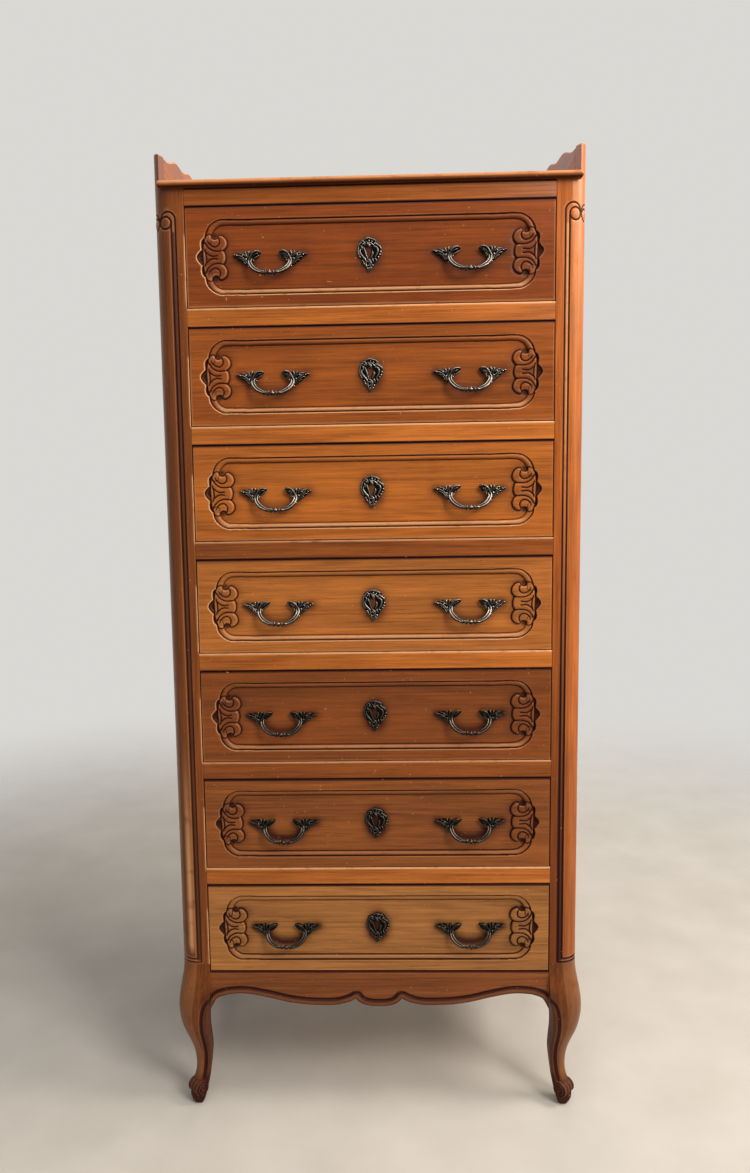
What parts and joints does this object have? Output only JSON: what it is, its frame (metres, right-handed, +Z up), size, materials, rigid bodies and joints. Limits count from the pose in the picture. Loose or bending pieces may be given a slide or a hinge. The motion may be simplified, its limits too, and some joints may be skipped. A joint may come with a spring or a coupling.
{
  "type": "semainier",
  "caption": "Tall narrow chest of equal carved drawers with cast pulls, on cabriole legs, with a low wavy gallery round its top",
  "frame": {"origin": "on the floor, at the middle of the bottom of the overall box (pulls included)", "axes": "+X to the viewer's right, +Y into the depth (drawers slide out along -Y), +Z up"},
  "size_m": [0.624, 0.3946, 1.5051],
  "materials": {
    "stained_cherry": "stained and waxed cherry, worn on the arrises, dark wax in the grooves",
    "dark_cherry": "stained and waxed cherry, carved, dark glaze in the carving",
    "plain_oak": "unfinished planed wood of the parts inside the case and the back",
    "patinated_brass": "cast brass, patinated nearly black, rubbed bright on the high parts"
  },
  "bodies": {
    "case": {"front_post_left": "stained_cherry", "front_post_right": "stained_cherry", "back_post_left": "stained_cherry", "back_post_right": "stained_cherry", "front_leg_left": "stained_cherry", "front_leg_right": "stained_cherry", "back_leg_left": "stained_cherry", "back_leg_right": "stained_cherry", "leg_dowels": "plain_oak", "side_panel_left": "stained_cherry", "side_panel_right": "stained_cherry", "side_apron_left": "stained_cherry", "side_apron_right": "stained_cherry", "front_apron": "stained_cherry", "top_rail": "stained_cherry", "drawer_rails": "stained_cherry", "drawer_stops": "plain_oak", "runners_left": "plain_oak", "runners_right": "plain_oak", "back_rails": "plain_oak", "back_panel": "plain_oak", "top_board": "stained_cherry", "gallery_left": "stained_cherry", "gallery_right": "stained_cherry", "gallery_back": "stained_cherry"},
    "drawer_1": {"drawer_1_front": "dark_cherry", "drawer_1_box": "plain_oak", "drawer_1_bottom": "plain_oak", "drawer_1_pulls": "patinated_brass", "drawer_1_escutcheon": "patinated_brass"},
    "drawer_2": {"drawer_2_front": "dark_cherry", "drawer_2_box": "plain_oak", "drawer_2_bottom": "plain_oak", "drawer_2_pulls": "patinated_brass", "drawer_2_escutcheon": "patinated_brass"},
    "drawer_3": {"drawer_3_front": "dark_cherry", "drawer_3_box": "plain_oak", "drawer_3_bottom": "plain_oak", "drawer_3_pulls": "patinated_brass", "drawer_3_escutcheon": "patinated_brass"},
    "drawer_4": {"drawer_4_front": "dark_cherry", "drawer_4_box": "plain_oak", "drawer_4_bottom": "plain_oak", "drawer_4_pulls": "patinated_brass", "drawer_4_escutcheon": "patinated_brass"},
    "drawer_5": {"drawer_5_front": "dark_cherry", "drawer_5_box": "plain_oak", "drawer_5_bottom": "plain_oak", "drawer_5_pulls": "patinated_brass", "drawer_5_escutcheon": "patinated_brass"},
    "drawer_6": {"drawer_6_front": "dark_cherry", "drawer_6_box": "plain_oak", "drawer_6_bottom": "plain_oak", "drawer_6_pulls": "patinated_brass", "drawer_6_escutcheon": "patinated_brass"},
    "drawer_7": {"drawer_7_front": "dark_cherry", "drawer_7_box": "plain_oak", "drawer_7_bottom": "plain_oak", "drawer_7_pulls": "patinated_brass", "drawer_7_escutcheon": "patinated_brass"}
  },
  "joints": [
    {"name": "drawer_1_slide", "type": "slide", "parent": "case", "child": "drawer_1", "axis": [0, -1, 0], "range_m": [0, 0.28]},
    {"name": "drawer_2_slide", "type": "slide", "parent": "case", "child": "drawer_2", "axis": [0, -1, 0], "range_m": [0, 0.28]},
    {"name": "drawer_3_slide", "type": "slide", "parent": "case", "child": "drawer_3", "axis": [0, -1, 0], "range_m": [0, 0.28]},
    {"name": "drawer_4_slide", "type": "slide", "parent": "case", "child": "drawer_4", "axis": [0, -1, 0], "range_m": [0, 0.28]},
    {"name": "drawer_5_slide", "type": "slide", "parent": "case", "child": "drawer_5", "axis": [0, -1, 0], "range_m": [0, 0.28]},
    {"name": "drawer_6_slide", "type": "slide", "parent": "case", "child": "drawer_6", "axis": [0, -1, 0], "range_m": [0, 0.28]},
    {"name": "drawer_7_slide", "type": "slide", "parent": "case", "child": "drawer_7", "axis": [0, -1, 0], "range_m": [0, 0.28]}
  ]
}
